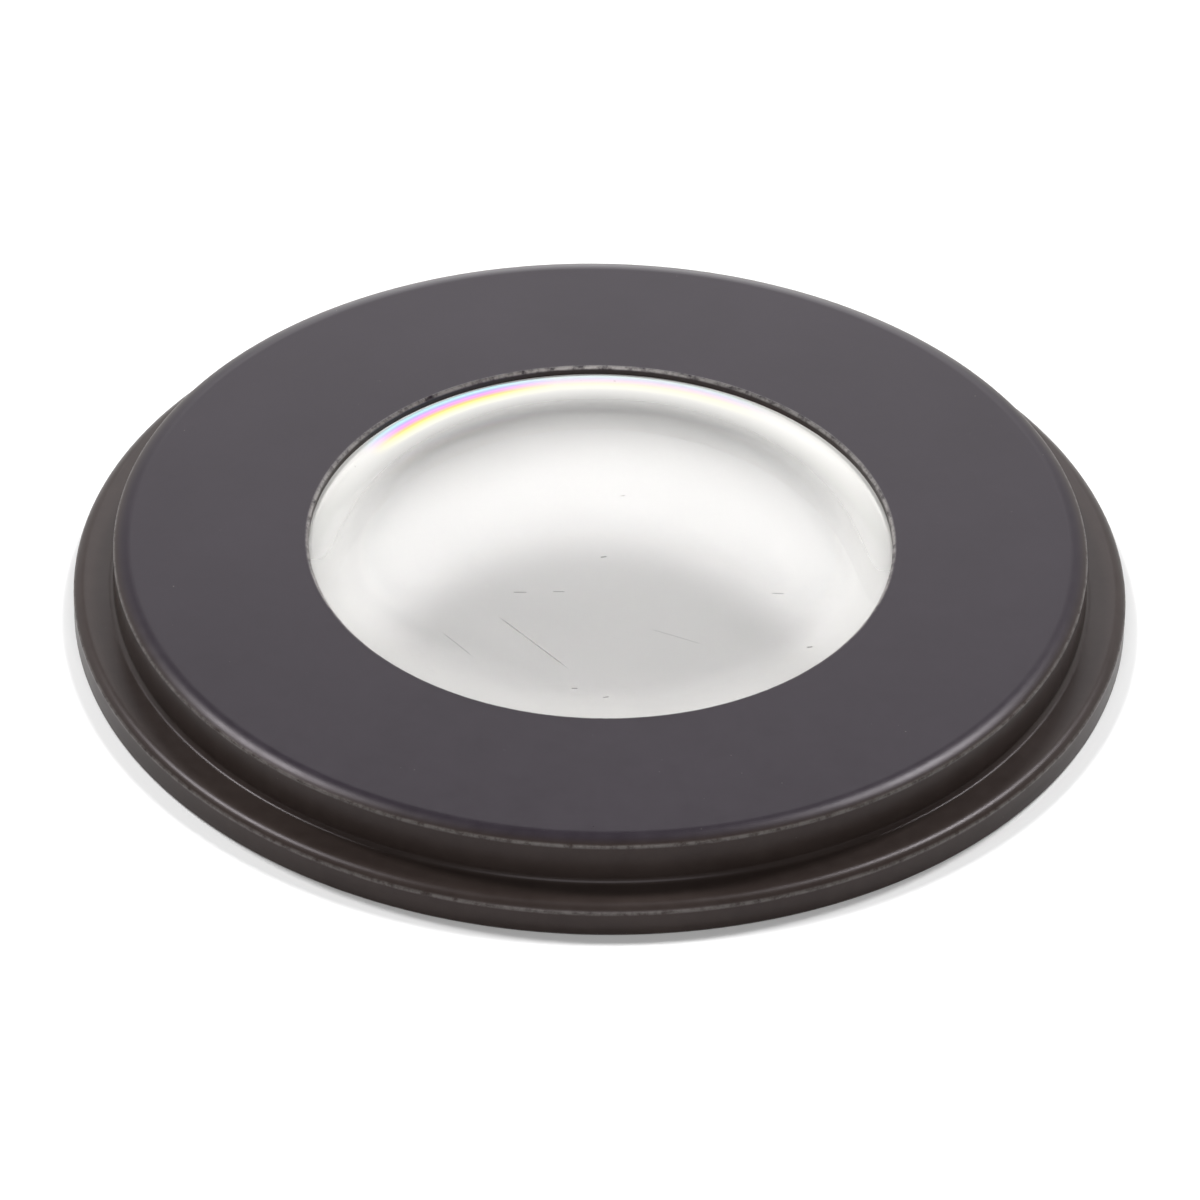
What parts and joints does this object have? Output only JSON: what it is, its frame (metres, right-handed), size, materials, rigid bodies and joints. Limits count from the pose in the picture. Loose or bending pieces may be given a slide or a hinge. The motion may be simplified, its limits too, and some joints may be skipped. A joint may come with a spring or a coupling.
{
  "type": "flanged lens cell",
  "caption": "Low flanged round lens cell of a surveying instrument: a black turned cell holds a clear meniscus lens by a threaded ring behind it.",
  "frame": {"origin": "centre of the flange's back face, on the optical axis", "axes": "+Z along the optical axis, out of the front lip; +X through one spanner slot of the retaining ring"},
  "size_m": [0.065, 0.065, 0.005],
  "materials": {
    "black_anodised": "black anodised, satin, with rubbed edges",
    "optical_glass": "polished faces, ground rim",
    "washer_film": "matt",
    "ring_anodised": "black anodised, matt"
  },
  "bodies": {
    "cell": {"cell_body": "black_anodised", "lens": "optical_glass"},
    "washer": {"slip_washer": "washer_film"},
    "ring": {"retaining_ring": "ring_anodised"}
  },
  "joints": [
    {"name": "ring_travel", "type": "slide", "parent": "cell", "child": "washer", "axis": [0, 0, -1], "range_m": [0, 0.0005]},
    {"name": "ring_turn", "type": "hinge", "parent": "washer", "child": "ring", "pos_m": [0, 0, 0], "axis": [0, 0, -1], "range_deg": [0, 360]}
  ],
  "couplings": [
    {"joint": "ring_travel", "follows": "ring_turn", "m_per_rad": 0.000079577}
  ]
}
